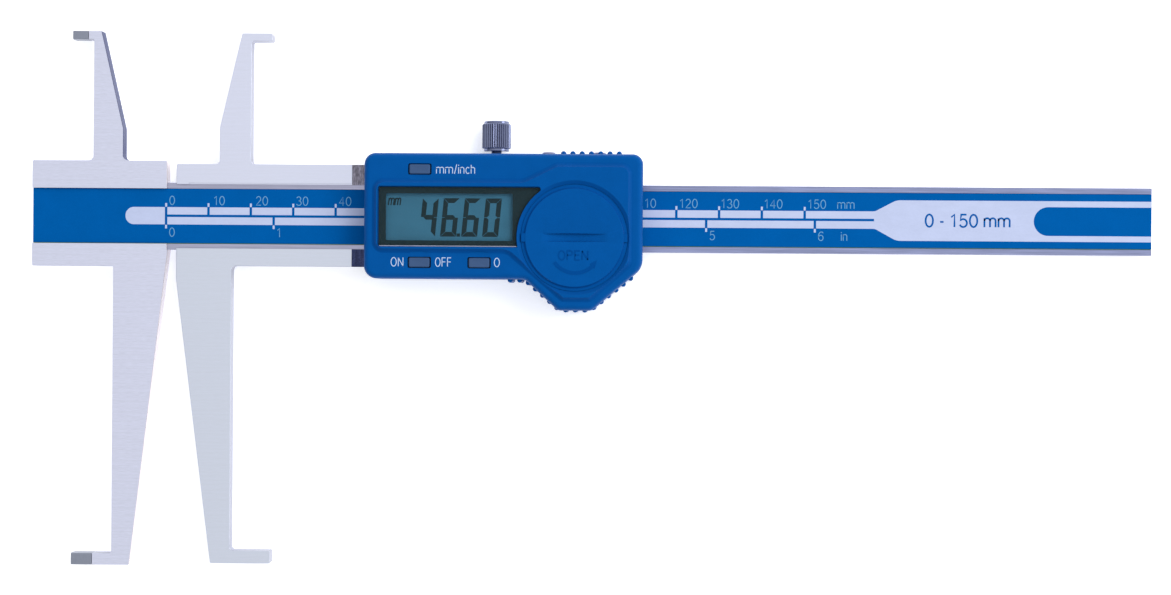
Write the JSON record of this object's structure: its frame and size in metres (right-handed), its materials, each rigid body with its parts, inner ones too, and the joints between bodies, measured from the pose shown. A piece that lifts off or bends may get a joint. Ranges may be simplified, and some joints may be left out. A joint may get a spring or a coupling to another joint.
{
  "type": "digital caliper",
  "caption": "Digital inside-groove caliper with a sliding display unit and two pairs of outward hooked jaws, lying on its back.",
  "frame": {"origin": "bottom centre of the caliper's box, level with the back of the slider that it rests on", "axes": "+X along the beam from the jaws to its tail, +Y towards the short jaws, +Z out of the display"},
  "size_m": [0.2624, 0.1256, 0.0151],
  "materials": {
    "ground_steel": "fine horizontal grinding, satin",
    "slider_steel": "finely ground, satin",
    "fastener_steel": "machined, slightly dark",
    "knurled_steel": "nickel plated, straight knurl",
    "carbide": "ground hard tip, dull grey",
    "gib_brass": "satin",
    "scale_print": "printed and laminated scale",
    "scale_fibreglass": "etched copper pattern on fibreglass",
    "back_print": "thin laminated label",
    "housing_blue": "moulded, fine spark texture",
    "cover_blue": "moulded, fine spark texture",
    "button_grey": "moulded, satin",
    "window_glass": "clear with a dark printed border",
    "lcd": "reflective liquid crystal glass",
    "board": "solder mask over fibreglass",
    "black_moulding": "moulded",
    "white_moulding": "moulded",
    "rubber": "soft, matt",
    "contact_steel": "nickel plated spring strip"
  },
  "bodies": {
    "beam": {"beam": "ground_steel", "fixed_tip_upper": "carbide", "fixed_tip_lower": "carbide", "scale_board": "scale_fibreglass", "scale_label": "scale_print", "end_stop": "fastener_steel", "end_stop_screw_1": "fastener_steel", "end_stop_screw_2": "fastener_steel"},
    "slider": {"slider_frame": "slider_steel", "back_label": "back_print", "gib_strip": "gib_brass", "gib_screw_1": "fastener_steel", "gib_screw_2": "fastener_steel", "display_housing": "housing_blue", "lcd_window": "window_glass", "housing_screw_1": "fastener_steel", "housing_screw_2": "fastener_steel", "housing_screw_3": "fastener_steel", "housing_screw_4": "fastener_steel", "main_board": "board", "board_screw_1": "fastener_steel", "board_screw_2": "fastener_steel", "board_screw_3": "fastener_steel", "board_screw_4": "fastener_steel", "controller_chip": "black_moulding", "switch_unit": "black_moulding", "switch_power": "black_moulding", "switch_zero": "black_moulding", "lcd_frame": "white_moulding", "zebra_connector": "rubber", "lcd_panel": "lcd", "battery": "contact_steel", "battery_contact_minus": "contact_steel", "battery_contact_plus": "contact_steel"},
    "lock_screw": {"lock_screw": "knurled_steel"},
    "lock_pad": {"lock_pad": "gib_brass"},
    "unit_button": {"button_unit": "button_grey"},
    "power_button": {"button_power": "button_grey"},
    "zero_button": {"button_zero": "button_grey"},
    "cover": {"battery_cover": "cover_blue", "battery_o_ring": "rubber"}
  },
  "joints": [
    {"name": "slider_travel", "type": "slide", "parent": "beam", "child": "slider", "axis": [1, 0, 0], "range_m": [-0.0018, 0.1034]},
    {"name": "lock_screw_turn", "type": "hinge", "parent": "slider", "child": "lock_screw", "pos_m": [-0.02199, 0.03832, 0.0036], "axis": [0, 1, 0], "range_deg": [-90, 180]},
    {"name": "lock_pad_travel", "type": "slide", "parent": "slider", "child": "lock_pad", "axis": [0, 1, 0], "range_m": [-0.000126, 0.000251]},
    {"name": "unit_button_press", "type": "slide", "parent": "slider", "child": "unit_button", "axis": [0, 0, -1], "range_m": [0, 0.0005], "stiffness_N_per_m": 600},
    {"name": "power_button_press", "type": "slide", "parent": "slider", "child": "power_button", "axis": [0, 0, -1], "range_m": [0, 0.0005], "stiffness_N_per_m": 600},
    {"name": "zero_button_press", "type": "slide", "parent": "slider", "child": "zero_button", "axis": [0, 0, -1], "range_m": [0, 0.0005], "stiffness_N_per_m": 600},
    {"name": "cover_turn", "type": "hinge", "parent": "slider", "child": "cover", "pos_m": [-0.00328, 0.01456, 0.014], "axis": [0, 0, 1], "range_deg": [0, 40]}
  ],
  "couplings": [
    {"joint": "lock_pad_travel", "follows": "lock_screw_turn", "m_per_rad": 0.000079577}
  ]
}
